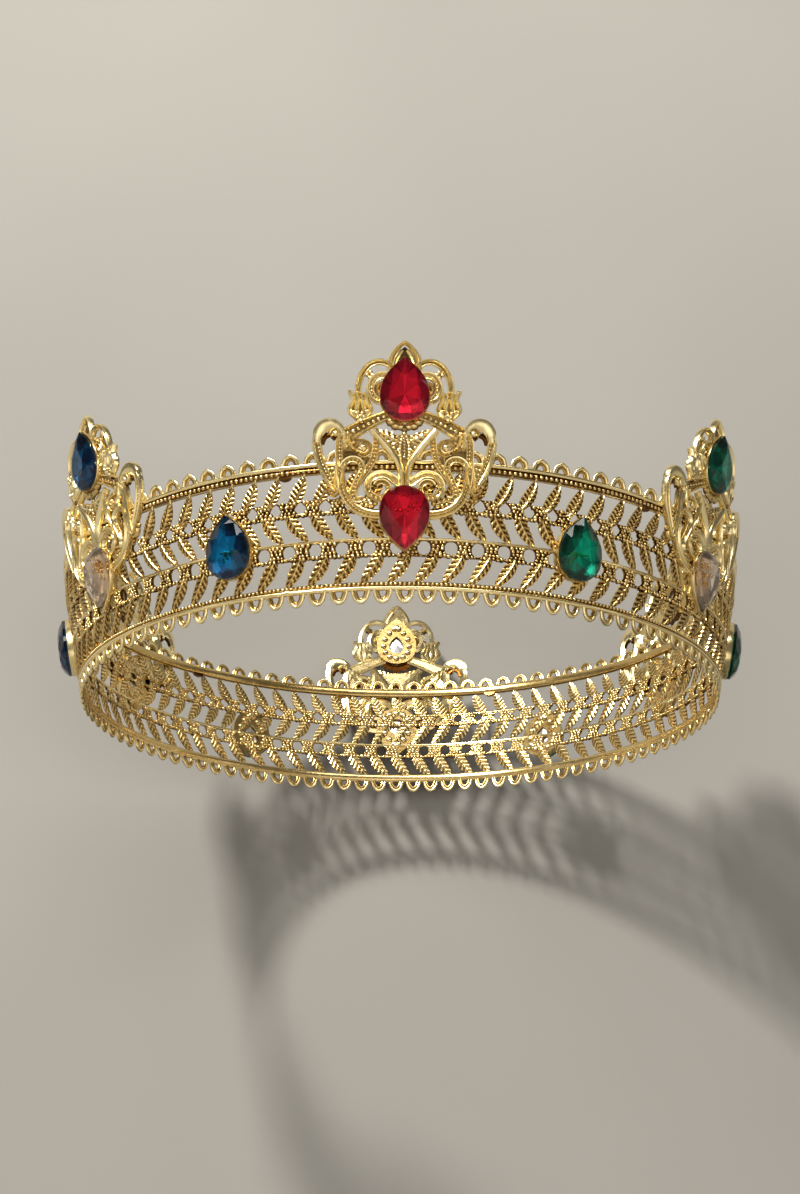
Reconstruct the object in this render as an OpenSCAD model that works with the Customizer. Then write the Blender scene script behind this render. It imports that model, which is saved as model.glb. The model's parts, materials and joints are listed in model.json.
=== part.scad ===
// Beaded filigree crown: six cast band segments, six scroll crests and eighteen pear stones in open cups.
// Rests on the tips of its lower loops at z = 0. The front crest faces -Y and +Z is up.

/* [Ring] */
// Radius of the wall at the lower rail
base_r = 80; // [70:0.5:90]
// Outward lean of the wall per millimetre of height
lean = 0.175; // [0.1:0.005:0.25]
// Height of the lower rail above the resting level
rail_z = 3; // [2.6:0.1:3.6]
// Radial thickness of the rails
rail_t = 1.4; // [1:0.1:2]
// Angle from the front crest to the first seam between segments
seam_a = -19.3; // [-22:0.1:-18]

/* [Leaves] */
// Lower leaves in each segment
low_leaves = 14; // [12:1:16]
// Upper leaves in each segment
top_leaves = 15; // [12:1:16]
// Greatest width of a leaf
leaf_w = 2.2; // [1.6:0.1:3]
// Thickness of a leaf
leaf_t = 1; // [0.6:0.1:1.4]

/* [Loops] */
// Loops along each edge of a segment
loops = 17; // [14:1:20]
// Width of a loop
loop_w = 4.2; // [3:0.1:5]
// Thickness of a loop
loop_t = 1; // [0.8:0.1:1.4]

/* [Crest] */
// Thickness of the scrollwork
crest_t = 1.5; // [1:0.1:2.5]

/* [Stones] */
// Width of a pear stone
stone_w = 11; // [8:0.5:12]
// Length of a pear stone
stone_l = 14.7; // [12:0.1:16]
// Height of a stone above its girdle
crown_h = 2.6; // [1.2:0.1:3]
// Depth of a stone below its girdle
pavilion_h = 1.7; // [1.2:0.1:1.8]
// Wall of a stone's cup
cup_wall = 0.25; // [0.2:0.05:0.6]

/* [Hidden] */
lean_a = atan(lean);
rail_half = rail_t / 2;
mid_z = 11.3;
step_a = 60;
gold = [0.83, 0.66, 0.33];
ruby = [0.62, 0.02, 0.09];
sapphire = [0.01, 0.16, 0.36];
emerald = [0.0, 0.3, 0.2];
champagne = [0.86, 0.68, 0.5];
upper_colours = [ruby, emerald, emerald, ruby, sapphire, sapphire];
lower_colours = [ruby, champagne, champagne, ruby, champagne, champagne];
band_colours = [emerald, emerald, emerald, sapphire, sapphire, sapphire];
crest_a = [0, 58.2, 120, 180, 240, 301.8];
band_a = [28.3, 88.5, 150, 210, 271.5, 331.8];
upper_seat_z = 42.8;
lower_seat_z = 17.7;
band_seat_z = 10.5;
cup_back = -0.2;
girdle = 1.8;
girdle_side = 0.9;
PEAR_N = 10;

// Radius of the wall at a height above the lower rail.
function wall_r(z) = base_r + lean * z;

// Angle in degrees for an arc length along the lower rail.
function arc_a(s) = s / base_r * 180 / PI;

// Flat position of a crest point given by arc length and height.
function face(p) = [wall_r(p[1]) * sin(arc_a(p[0])), p[1]];

// Half width of a pear from its round end (t = 0) to its point (t = 1).
function pear_half(t) = t < 0.36 ? sqrt(1 - pow((0.36 - t) / 0.36, 2))
    : cos(90 * pow((t - 0.36) / 0.64, 1.32));

// Place along a pear of outline point i, closer together near both ends.
function pear_t(i) = 0.5 - 0.5 * cos(180 * i / PEAR_N);

// Outline of a pear with its widest place at the origin and its point up.
function pear(w, l) = concat(
    [for (i = [0:PEAR_N]) let (t = pear_t(i)) [w / 2 * pear_half(t), (t - 0.36) * l]],
    [for (i = [PEAR_N - 1:-1:1]) let (t = pear_t(i)) [-w / 2 * pear_half(t), (t - 0.36) * l]]
);

// One point of a smooth curve between control points b and c.
function blend(a, b, c, d, t) = 0.5 * (2 * b + (c - a) * t + (2 * a - 5 * b + 4 * c - d) * t * t
    + (3 * b - a - 3 * c + d) * t * t * t);

// Smooth curve through control points.
function curve(p, n = 2) = concat(
    [for (i = [0:len(p) - 2]) for (j = [0:n - 1])
        blend(p[max(i - 1, 0)], p[i], p[i + 1], p[min(i + 2, len(p) - 1)], j / n)],
    [p[len(p) - 1]]
);

// Points beside a curve, at half the width that runs from w0 to w1.
function beside(c, w0, w1, s) = [for (i = [0:len(c) - 1])
    let (d = c[min(i + 1, len(c) - 1)] - c[max(i - 1, 0)],
         h = s * (w0 + (w1 - w0) * i / (len(c) - 1)) / 2 / norm(d))
    c[i] + [-d[1], d[0]] * h];

// Flat strip along a smooth curve.
module strip(p, w0, w1) {
    c = curve(p);
    left = beside(c, w0, w1, 1);
    right = beside(c, w0, w1, -1);
    polygon([for (q = concat(left, [for (i = [len(right) - 1:-1:0]) right[i]])) face(q)]);
}

// Small round boss of a crest.
module boss(p, r) {
    translate(face(p))
        circle(r, $fn = 10);
}

// Places children on the wall with x along it, y up it and z outward.
module on_wall(a, z) {
    rotate([0, 0, a])
        translate([0, -wall_r(z), rail_z + z])
            rotate([90 + lean_a, 0, 0])
                children();
}

// Conical band between two heights, from radial offset g to g + t.
module wall_band(a0, a1, z0, z1, g, t) {
    rotate([0, 0, a0 - 90])
        rotate_extrude(angle = a1 - a0, $fn = 96)
            polygon([
                [wall_r(z0) + g, rail_z + z0],
                [wall_r(z0) + g + t, rail_z + z0],
                [wall_r(z1) + g + t, rail_z + z1],
                [wall_r(z1) + g, rail_z + z1]
            ]);
}

// Pear-shaped prism on the wall, point up (turn = 0) or down (turn = 180).
module seat_cut(a, z, turn, extra) {
    on_wall(a, z)
        rotate([0, 0, turn])
            translate([0, 0, -4])
                linear_extrude(12)
                    polygon(pear(stone_w + extra, stone_l + extra));
}

// Leaf between two points given by arc offset and height.
module leaf(a, p, q) {
    m = (p + q) / 2;
    l = norm(q - p) + 0.8;
    on_wall(a + arc_a(m[0]), m[1])
        rotate([0, 0, atan2(q[1] - p[1], q[0] - p[0])])
            translate([0, 0, -leaf_t / 2])
                linear_extrude(leaf_t)
                    polygon([
                        [-l / 2, -0.35], [-l / 4, -leaf_w * 0.42], [0, -leaf_w / 2], [l / 4, -leaf_w * 0.4],
                        [l / 2, -0.3], [l / 2, 0.3], [l / 4, leaf_w * 0.4], [0, leaf_w / 2],
                        [-l / 4, leaf_w * 0.42], [-l / 2, 0.35]
                    ]);
}

// Rosette plate that joins two leaves.
module rosette(a, z, r) {
    on_wall(a, z)
        translate([0, 0, -0.6])
            linear_extrude(1.2)
                circle(r, $fn = 8);
}

// Open loop that stands out from a rail, up (turn = 0) or down (turn = 180).
module edge_loop(a, z, h, turn) {
    w = loop_w / 2;
    on_wall(a, z)
        rotate([0, 0, turn])
            translate([0, 0, -loop_t / 2])
                linear_extrude(loop_t)
                    difference() {
                        polygon([
                            [-w, 0], [-w * 0.86, h * 0.5], [-w * 0.5, h * 0.85], [-w * 0.15, h],
                            [w * 0.15, h], [w * 0.5, h * 0.85], [w * 0.86, h * 0.5], [w, 0]
                        ]);
                        polygon([
                            [-w * 0.66, -0.1], [-w * 0.5, h * 0.4], [0, h * 0.7],
                            [w * 0.5, h * 0.4], [w * 0.66, -0.1]
                        ]);
                    }
}

// Rails, stems, leaves, rosettes and loops of one segment before it is cut for the stones.
module band_pattern(i) {
    a0 = i * step_a + seam_a;
    a1 = a0 + step_a;
    wall_band(a0, a1, -0.3, 1.7, -rail_half, rail_t);
    wall_band(a0, a1, 7.4, 7.9, -0.5, 1);
    wall_band(a0, a1, mid_z - 0.45, mid_z + 0.45, -rail_half, rail_t);
    wall_band(a0, a1, 17.6, 18.1, -0.5, 1);
    wall_band(a0, a1, 26.7, 29.2, -rail_half, rail_t);
    low_step = step_a / low_leaves;
    top_step = step_a / top_leaves;
    for (k = [0:low_leaves - 1]) {
        a = a0 + (k + 0.72) * low_step;
        rosette(a, 9.4, 1.65);
        leaf(a, [-0.6, 7.4], [k > 0 ? -4.8 : -3.6, 1.5]);
    }
    for (k = [0:top_leaves - 1]) {
        a = a0 + (k + 0.26) * top_step;
        if (abs(a - crest_a[i]) > 3 && abs(a - band_a[i]) > 1.5)
            rosette(a, 18.7, 1.75);
        reach = k < top_leaves - 1 ? 4.2 : 3.4;
        leaf(a, [0.9, 19.6], [reach, 26.8]);
        leaf(a, [0.3, 17.6], [reach, 11.5]);
    }
    for (k = [0:loops - 1]) {
        a = a0 + (k + 0.5) * step_a / loops;
        edge_loop(a, -0.2, 2.95, 180);
        edge_loop(a, 29, 2.7, 0);
    }
}

// One cast segment of the open band, opened for the stone cups it carries.
module band_segment(i) {
    color(gold)
        difference() {
            band_pattern(i);
            seat_cut(crest_a[i], lower_seat_z, 180, 2 * cup_wall);
            seat_cut(band_a[i], band_seat_z, 0, 2 * cup_wall);
            translate([-120, -120, -5])
                cube([240, 240, 5]);
        }
}

// Deep bar of one flat shape, to be trimmed to the wall.
module bar() {
    linear_extrude(120)
        children();
}

// Right half of the scrollwork, as a flat pattern.
module crest_half() {
    bar() strip([[2.4, 50.2], [5.1, 51.2], [7.4, 50], [8.8, 47.8], [9.3, 44]], 1.2, 1.2);
    bar() boss([7.2, 48], 1.1);
    bar() strip([[3.6, 47.8], [5.2, 47.8], [6.4, 46.8], [6.8, 44.7], [5.6, 42.7], [4.4, 42.8]], 1.6, 1.4);
    bar() polygon([for (p = [[7.3, 44.6], [8.3, 43.8], [9.2, 44.4], [10.2, 43.8], [11.3, 44.8], [10.6, 42.8],
        [11.3, 40.5], [10.3, 38.6], [9.4, 36.4], [8.4, 36.4], [7.6, 38.6], [6.8, 40.5], [7.6, 42.8]]) face(p)]);
    bar() polygon([for (p = [[3.2, 39.9], [4.2, 39.8], [12.9, 36], [12.6, 34.6], [9.4, 34.1], [2.4, 38]]) face(p)]);
    bar() boss([1.5, 36.8], 1);
    bar() polygon([for (p = [[0.8, 31.9], [3, 33.2], [5.3, 35.4], [2.6, 35.4], [0.9, 34.4]]) face(p)]);
    bar() strip([[6.4, 35.6], [4, 32.4], [2, 29.4], [0.9, 26], [0.8, 22.6]], 1.9, 1.9);
    bar() strip([[13.9, 22.2], [15.8, 24.8], [17.3, 27.8], [18.2, 30.9], [18.6, 33.8], [18, 36.6], [16.1, 38.4],
        [13.9, 37.8], [12.5, 35.8]], 1.7, 1.7);
    bar() polygon([for (p = [[12.4, 36.2], [13.8, 37.8], [16.2, 38.4], [18.2, 36.4], [18.4, 34.2], [16.9, 35.3],
        [15.2, 35.8], [14.2, 34.2], [12.8, 34.6]]) face(p)]);
    bar() boss([13.7, 35.4], 1.3);
    bar() strip([[12.7, 35.6], [13.4, 31.9], [13.4, 28.3], [13.9, 25.2], [13.9, 22.4]], 1.8, 1.9);
    bar() strip([[13.6, 28.3], [13.7, 24.7], [13.1, 21.9], [11.5, 19], [9, 17.1], [6.6, 16.3], [4, 16.4]], 1.7, 1.7);
    bar() strip([[12.9, 30.6], [10.8, 30.6], [9, 29.2], [9.1, 26.1], [10.3, 23.6], [10.8, 21.5], [9.6, 20.2]], 1.9, 1.4);
    bar() polygon([for (p = [[9.6, 34.8], [12.9, 35], [13.3, 30.4], [11.4, 30.8], [9.4, 32.2]]) face(p)]);
    bar() strip([[5.4, 34], [6.3, 30.5], [7.6, 27.4], [9.2, 25.2]], 1.7, 1.7);
    bar() strip([[7.6, 30.6], [8.8, 32.4], [10.2, 33.4], [10.4, 35]], 1.7, 1.5);
    bar() strip([[1, 24.4], [2.6, 25.6], [5.1, 26], [7.5, 25], [8.3, 22.6], [7.3, 20.4], [5.2, 19.8], [4.1, 21.2],
        [4.6, 22.9]], 1.8, 1.4);
    bar() boss([8.4, 19.4], 1.6);
}

// Whole scrollwork pattern with its finial, collar and bud.
module crest_pattern() {
    for (m = [0, 1])
        mirror([m, 0])
            crest_half();
    bar() difference() {
        polygon([for (p = [[-3.1, 49.5], [-2.9, 51.6], [-2.2, 53.2], [-1.1, 54.7], [0, 55.6],
            [1.1, 54.7], [2.2, 53.2], [2.9, 51.6], [3.1, 49.5]]) face(p)]);
        polygon([[-0.8, 51.7], [0, 53.4], [0.8, 51.7]]);
    }
    bar() boss([0, 36.2], 1.3);
    bar() polygon([for (p = [[-5.6, 34.9], [5.6, 34.9], [0.4, 25], [-0.4, 25]]) face(p)]);
    bar() polygon([for (p = [[-1.4, 36], [1.4, 36], [0.9, 31.5], [0, 28.6], [-0.9, 31.5]]) face(p)]);
    bar() translate([0, upper_seat_z])
        polygon(pear(stone_w + 2 * cup_wall + 1, stone_l + 2 * cup_wall + 1));
    bar() translate([0, lower_seat_z])
        rotate(180)
            polygon(pear(stone_w + 2 * cup_wall + 1, stone_l + 2 * cup_wall + 1));
}

// Openwork crest that stands in front of the band, with a plain plate between its V bars.
module crest(i) {
    color(gold)
        difference() {
            intersection() {
                rotate([0, 0, crest_a[i]])
                    translate([0, 0, rail_z])
                        rotate([90, 0, 0])
                            crest_pattern();
                wall_band(crest_a[i] - 16, crest_a[i] + 16, 7, 57, rail_half, crest_t);
            }
            seat_cut(crest_a[i], upper_seat_z, 0, 2 * cup_wall);
            seat_cut(crest_a[i], lower_seat_z, 180, 2 * cup_wall);
        }
}

// Open-backed cup that holds one stone by its girdle.
module cup(a, z, turn) {
    color(gold)
        on_wall(a, z)
            rotate([0, 0, turn])
                difference() {
                    translate([0, 0, cup_back])
                        linear_extrude(girdle - cup_back)
                            polygon(pear(stone_w + 2 * cup_wall, stone_l + 2 * cup_wall));
                    translate([0, 0, cup_back + 0.5])
                        linear_extrude(girdle + 1)
                            polygon(pear(stone_w, stone_l));
                    translate([0, 0, cup_back - 1])
                        linear_extrude(girdle)
                            polygon(pear(stone_w * 0.66, stone_l * 0.66));
                }
}

// Faceted pear stone with a flat table and a truncated pavilion.
module stone(a, z, turn, tint) {
    girdle_ring = pear(stone_w, stone_l);
    n = len(girdle_ring);
    points = concat(
        [for (p = girdle_ring) [p[0] * 0.2, p[1] * 0.2, girdle - pavilion_h + 0.35]],
        [for (p = girdle_ring) [p[0], p[1], girdle - 0.15]],
        [for (p = girdle_ring) [p[0], p[1], girdle + girdle_side]],
        [for (p = girdle_ring) [p[0] * 0.54, p[1] * 0.54, girdle + crown_h]]
    );
    sides = [for (k = [0:2]) for (j = [0:n - 1])
        [k * n + j, k * n + n + j, k * n + n + (j + 1) % n, k * n + (j + 1) % n]];
    color(tint)
        on_wall(a, z)
            rotate([0, 0, turn])
                polyhedron(points, concat(
                    [[for (j = [0:n - 1]) j]],
                    sides,
                    [[for (j = [n - 1:-1:0]) 3 * n + j]]
                ));
}

// Half-round soldered tab that closes a seam under the upper rail.
module joint_tab(i) {
    color(gold)
        on_wall(i * step_a + seam_a + arc_a(1.1), 26.7)
            translate([0, 0, -rail_half])
                linear_extrude(rail_t)
                    polygon([[-1.5, 0], [-1.3, -0.6], [-0.6, -1], [0.6, -1], [1.3, -0.6], [1.5, 0]]);
}

band_segment(0);  // band_segment_front
band_segment(1);  // band_segment_front_right
band_segment(2);  // band_segment_rear_right
band_segment(3);  // band_segment_rear
band_segment(4);  // band_segment_rear_left
band_segment(5);  // band_segment_front_left
crest(0);  // crest_front
crest(1);  // crest_front_right
crest(2);  // crest_rear_right
crest(3);  // crest_rear
crest(4);  // crest_rear_left
crest(5);  // crest_front_left
cup(crest_a[0], upper_seat_z, 0);  // upper_cup_front
cup(crest_a[1], upper_seat_z, 0);  // upper_cup_front_right
cup(crest_a[2], upper_seat_z, 0);  // upper_cup_rear_right
cup(crest_a[3], upper_seat_z, 0);  // upper_cup_rear
cup(crest_a[4], upper_seat_z, 0);  // upper_cup_rear_left
cup(crest_a[5], upper_seat_z, 0);  // upper_cup_front_left
stone(crest_a[0], upper_seat_z, 0, upper_colours[0]);  // upper_stone_front
stone(crest_a[1], upper_seat_z, 0, upper_colours[1]);  // upper_stone_front_right
stone(crest_a[2], upper_seat_z, 0, upper_colours[2]);  // upper_stone_rear_right
stone(crest_a[3], upper_seat_z, 0, upper_colours[3]);  // upper_stone_rear
stone(crest_a[4], upper_seat_z, 0, upper_colours[4]);  // upper_stone_rear_left
stone(crest_a[5], upper_seat_z, 0, upper_colours[5]);  // upper_stone_front_left
cup(crest_a[0], lower_seat_z, 180);  // lower_cup_front
cup(crest_a[1], lower_seat_z, 180);  // lower_cup_front_right
cup(crest_a[2], lower_seat_z, 180);  // lower_cup_rear_right
cup(crest_a[3], lower_seat_z, 180);  // lower_cup_rear
cup(crest_a[4], lower_seat_z, 180);  // lower_cup_rear_left
cup(crest_a[5], lower_seat_z, 180);  // lower_cup_front_left
stone(crest_a[0], lower_seat_z, 180, lower_colours[0]);  // lower_stone_front
stone(crest_a[1], lower_seat_z, 180, lower_colours[1]);  // lower_stone_front_right
stone(crest_a[2], lower_seat_z, 180, lower_colours[2]);  // lower_stone_rear_right
stone(crest_a[3], lower_seat_z, 180, lower_colours[3]);  // lower_stone_rear
stone(crest_a[4], lower_seat_z, 180, lower_colours[4]);  // lower_stone_rear_left
stone(crest_a[5], lower_seat_z, 180, lower_colours[5]);  // lower_stone_front_left
cup(band_a[0], band_seat_z, 0);  // band_cup_front
cup(band_a[1], band_seat_z, 0);  // band_cup_front_right
cup(band_a[2], band_seat_z, 0);  // band_cup_rear_right
cup(band_a[3], band_seat_z, 0);  // band_cup_rear
cup(band_a[4], band_seat_z, 0);  // band_cup_rear_left
cup(band_a[5], band_seat_z, 0);  // band_cup_front_left
stone(band_a[0], band_seat_z, 0, band_colours[0]);  // band_stone_front
stone(band_a[1], band_seat_z, 0, band_colours[1]);  // band_stone_front_right
stone(band_a[2], band_seat_z, 0, band_colours[2]);  // band_stone_rear_right
stone(band_a[3], band_seat_z, 0, band_colours[3]);  // band_stone_rear
stone(band_a[4], band_seat_z, 0, band_colours[4]);  // band_stone_rear_left
stone(band_a[5], band_seat_z, 0, band_colours[5]);  // band_stone_front_left
joint_tab(0);  // joint_tab_front
joint_tab(1);  // joint_tab_front_right
joint_tab(2);  // joint_tab_rear_right
joint_tab(3);  // joint_tab_rear
joint_tab(4);  // joint_tab_rear_left
joint_tab(5);  // joint_tab_front_left
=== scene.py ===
"""Beaded filigree crown: high-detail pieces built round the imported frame, with its stage, lights and camera."""

import json
import math
import random

import bpy
import numpy as np
from mathutils import Matrix, Vector


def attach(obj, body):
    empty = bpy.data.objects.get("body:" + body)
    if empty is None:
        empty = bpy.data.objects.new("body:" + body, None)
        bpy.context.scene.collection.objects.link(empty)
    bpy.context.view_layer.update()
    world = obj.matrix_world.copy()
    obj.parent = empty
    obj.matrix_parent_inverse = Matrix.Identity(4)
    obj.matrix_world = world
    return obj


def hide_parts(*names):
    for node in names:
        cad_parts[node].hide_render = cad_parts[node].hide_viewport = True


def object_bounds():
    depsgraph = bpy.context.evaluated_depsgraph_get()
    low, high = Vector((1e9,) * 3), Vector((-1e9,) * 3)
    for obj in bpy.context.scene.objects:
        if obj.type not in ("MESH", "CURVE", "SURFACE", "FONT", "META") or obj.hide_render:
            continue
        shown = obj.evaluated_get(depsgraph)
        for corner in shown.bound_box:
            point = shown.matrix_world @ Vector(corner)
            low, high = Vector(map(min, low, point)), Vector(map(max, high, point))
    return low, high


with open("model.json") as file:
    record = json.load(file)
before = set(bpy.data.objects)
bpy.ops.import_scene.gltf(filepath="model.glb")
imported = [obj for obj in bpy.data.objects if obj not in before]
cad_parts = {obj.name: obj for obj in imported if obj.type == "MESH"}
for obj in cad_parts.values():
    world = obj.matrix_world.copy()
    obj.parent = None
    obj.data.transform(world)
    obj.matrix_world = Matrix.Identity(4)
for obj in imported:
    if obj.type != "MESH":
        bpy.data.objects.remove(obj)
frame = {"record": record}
cad_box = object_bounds()

# ---------------------------------------------------------------- dimensions, in millimetres
MM = 0.001
PLACES = ("front", "front_right", "rear_right", "rear", "rear_left", "front_left")
STEP = math.radians(60)  # from one crest to the next
BASE_R = 80.0  # radius of the wall at the lower rail
LEAN = 0.175  # outward lean of the wall per millimetre of height
RAIL_Z = 3.0  # height of the lower rail above the resting level
SEAM = math.radians(-19.3)  # from a crest's axis to the seam on its left
LEAN_A = math.atan(LEAN)
SEGMENT = BASE_R * STEP  # arc length of a segment along the lower rail
MID_Z = 11.3
STONE_W, STONE_L = 11.0, 14.7
WIDEST = 0.36  # where a stone is widest, as a share of its length from its round end
CUP_WALL = 0.25
GIRDLE = 1.8  # height of a stone's girdle above the wall
GIRDLE_SIDE = 0.9  # upright side of a stone above its girdle
CROWN_H = 2.6
CUP_BACK = -0.2
UPPER_Z, LOWER_Z, BAND_Z = 42.8, 17.7, 10.5
CREST_A = np.radians([0, 58.2, 120, 180, 240, 301.8])  # where the crests stand
BAND_A = np.radians([28.3, 88.5, 150, 210, 271.5, 331.8])  # where the stones between them stand
CREST_OFF = 0.6  # the crest's back above the middle of the wall
LOW_LEAVES, TOP_LEAVES, LOOPS = 14, 15, 17


# ---------------------------------------------------------------- shapes on the wall
def wall(points, angle):
    """Points given by arc length, height and distance out from the wall, placed in the row frame in metres."""
    s, z, out = np.asarray(points, float).T
    r = BASE_R + LEAN * z + out * math.cos(LEAN_A)
    a = angle + s / BASE_R
    return np.column_stack([r * np.sin(a), -r * np.cos(a), RAIL_Z + z - out * math.sin(LEAN_A)]) * MM


def seat(points, angle, z, turn):
    """Points in a stone's own flat frame (x across, y up, z out), placed on the wall in metres."""
    p = np.asarray(points, float)
    c, s = math.cos(turn), math.sin(turn)
    x, y = p[:, 0] * c - p[:, 1] * s, p[:, 0] * s + p[:, 1] * c
    up, out = np.array([math.sin(LEAN_A), math.cos(LEAN_A)]), np.array([math.cos(LEAN_A), -math.sin(LEAN_A)])
    radial = BASE_R + LEAN * z + y * up[0] + p[:, 2] * out[0]
    height = RAIL_Z + z + y * up[1] + p[:, 2] * out[1]
    ca, sa = math.cos(angle), math.sin(angle)
    return np.column_stack([x * ca + radial * sa, x * sa - radial * ca, height]) * MM


class Shape:
    """A mesh under construction: points, faces, a painted shade per point (0 painted highlight, 1 deep painted shade)
    and a material per face.
    """

    def __init__(self):
        self.points, self.faces, self.tones, self.mats, self.smooth = [], [], [], [], []
        self.count = 0

    def add(self, points, faces, tone=0.0, mat=0, smooth=True):
        points = np.asarray(points, float)
        self.points.append(points)
        self.tones.append(np.broadcast_to(np.asarray(tone, float), (len(points),)))
        self.faces += [tuple(i + self.count for i in f) for f in faces]
        self.mats += [mat] * len(faces)
        self.smooth += [smooth] * len(faces)
        self.count += len(points)

    def mirrored(self):
        """The same shape with its arc lengths turned round, faces kept outward."""
        other = Shape()
        other.points = [p * [-1, 1, 1] for p in self.points]
        other.faces = [f[::-1] for f in self.faces]
        other.tones, other.mats, other.smooth = list(self.tones), list(self.mats), list(self.smooth)
        other.count = self.count
        return other

    def bent(self, start=47.0, rate=0.012):
        """The same shape with its top bent inward, more so towards its tip."""
        for p in self.points:
            p[:, 2] -= rate * np.clip(p[:, 1] - start, 0, None) ** 2
        return self

    def join(self, other):
        offset = self.count
        self.points += other.points
        self.tones += other.tones
        self.faces += [tuple(i + offset for i in f) for f in other.faces]
        self.mats += other.mats
        self.smooth += other.smooth
        self.count += other.count

    def build(self, name, place, materials, slot, replaced):
        """Makes the piece, puts it in the frame and hides the CAD node it stands for."""
        mesh = bpy.data.meshes.new(name)
        mesh.from_pydata(place(np.concatenate(self.points)).tolist(), [], self.faces)
        # painted light and shade per point: low values paint highlights, high values paint shade
        tone = mesh.attributes.new("tone", "FLOAT", "POINT")
        tone.data.foreach_set("value", np.concatenate(self.tones).astype(np.float32))
        for m in materials:
            mesh.materials.append(m)
        mesh.polygons.foreach_set("material_index", self.mats)
        mesh.polygons.foreach_set("use_smooth", self.smooth)
        mesh.validate()
        mesh.update()
        mesh.set_sharp_from_angle(angle=math.radians(40))
        piece = bpy.data.objects.new(name, mesh)
        bpy.context.scene.collection.objects.link(piece)
        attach(piece, "root")
        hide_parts(replaced)
        return piece


def smooth_line(points, n=5):
    """A smooth curve through given points."""
    p = np.asarray(points, float)
    ends = np.vstack([2 * p[0] - p[1], p, 2 * p[-1] - p[-2]])
    line = []
    for i in range(1, len(p)):
        a, b, c, d = ends[i - 1 : i + 3]
        for t in np.arange(n) / n:
            line.append(
                0.5 * (2 * b + (c - a) * t + (2 * a - 5 * b + 4 * c - d) * t * t + (3 * b - a - 3 * c + d) * t**3)
            )
    line.append(p[-1])
    return np.array(line)


ROUND = [(math.cos(a), math.sin(a)) for a in np.arange(10) * math.tau / 10]
TWO_RIDGES = [
    (-1, 0), (-1, 0.6), (-0.88, 0.92), (-0.66, 1), (-0.5, 0.66), (-0.25, 0.52), (0.25, 0.52), (0.5, 0.66), (0.66, 1),
    (0.88, 0.92), (1, 0.6), (1, 0), (0, -0.3),
]
ONE_RIDGE = [(-1, 0), (-1, 0.35), (-0.6, 0.75), (-0.2, 1), (0.2, 1), (0.6, 0.75), (1, 0.35), (1, 0), (0, -0.3)]
RIM = [
    (1, 0), (1, 0.78), (0.82, 1), (0.5, 0.98), (0.22, 0.66), (-0.1, 0.5), (-0.5, 0.5), (-0.68, 0.68), (-0.85, 0.72),
    (-1, 0.5), (-1, 0), (0, -0.3),
][::-1]
ROOF = [(-1, 0), (-1, 0.5), (-0.75, 0.75), (-0.1, 1), (0.15, 0.98), (0.8, 0.6), (1, 0.3), (1, 0), (0, -0.3)]


def sweep(shape, line, width, height, profile=ROUND, base=0.0, tone=0.0):
    """A bar of one cross-section along a flat line. Width and height may be one number or one per point."""
    line = np.asarray(line, float)
    n, m = len(line), len(profile)
    d = np.gradient(line, axis=0)
    d /= np.linalg.norm(d, axis=1)[:, None] + 1e-9
    across = np.column_stack([d[:, 1], -d[:, 0]])
    w = np.broadcast_to(np.asarray(width, float), (n,)) / 2
    h = np.broadcast_to(np.asarray(height, float), (n,))
    base = np.broadcast_to(np.asarray(base, float), (n,))
    points, tones = [], []
    for x, y in profile:
        points.append(np.column_stack([line + across * (x * w)[:, None], base + y * h]))
        # the channels of the ridged and rim profiles get painted shade
        deep = (profile is TWO_RIDGES and abs(x) < 0.3) or (profile is RIM and -0.6 < x < 0.0)
        groove_shade = 0.38 if deep and y > 0 else 0.0
        tones.append(np.full(n, min(1.0, tone + groove_shade)))
    points = np.stack(points, 1).reshape(-1, 3)
    tones = np.stack(tones, 1).reshape(-1)
    faces = []
    for i in range(n - 1):
        k = i + 1
        for j in range(m):
            q = (j + 1) % m
            faces.append((i * m + j, k * m + j, k * m + q, i * m + q))
    faces.append(tuple(range(m)))
    faces.append(tuple((n - 1) * m + j for j in reversed(range(m))))
    shape.add(points, [f[::-1] for f in faces], tones)


def bead(shape, s, z, out, rs, rz=None, h=None, tone=0.3, sides=8, way=1):
    """A round bead on the face of the metal (way 1) or on its back (way -1)."""
    rz = rz or rs
    h = h or rs
    points, faces = [(s, z, out + way * h)], []
    for ring, (rr, hh) in enumerate(((0.5, 0.86), (0.87, 0.5), (1.0, -0.15))):
        for k in range(sides):
            a = math.tau * k / sides
            points.append((s + rs * rr * math.cos(a), z + rz * rr * math.sin(a), out + way * h * hh))
    for k in range(sides):
        n = (k + 1) % sides
        faces.append((0, 1 + k, 1 + n))
        for ring in range(2):
            a = 1 + ring * sides
            faces.append((a + k, a + sides + k, a + sides + n, a + n))
    faces.append(tuple(1 + 2 * sides + k for k in reversed(range(sides))))
    # painted highlight on the bead's crown, painted shade round its foot
    tones = [tone * 0.4] + [tone * 0.5] * sides + [tone] * sides + [min(1, tone + 0.5)] * sides
    shape.add(points, [f[::way] for f in faces], tones)


def closed_sheet(shape, top, back, rows, cols, tones):
    """A solid between a top and a back grid of points."""
    size, faces = rows * cols, []
    for i in range(rows - 1):
        for j in range(cols - 1):
            a, b = i * cols + j, (i + 1) * cols + j
            faces.append((a, a + 1, b + 1, b))
            faces.append((size + a, size + b, size + b + 1, size + a + 1))
    rim = [i * cols for i in range(rows)] + [(rows - 1) * cols + j for j in range(1, cols)]
    rim += [i * cols + cols - 1 for i in reversed(range(rows - 1))] + list(reversed(range(1, cols - 1)))
    for a, b in zip(rim, rim[1:] + rim[:1]):
        faces.append((a, b, size + b, size + a))
    shape.add(np.concatenate([top, back]), [f[::-1] for f in faces], tones)


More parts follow.
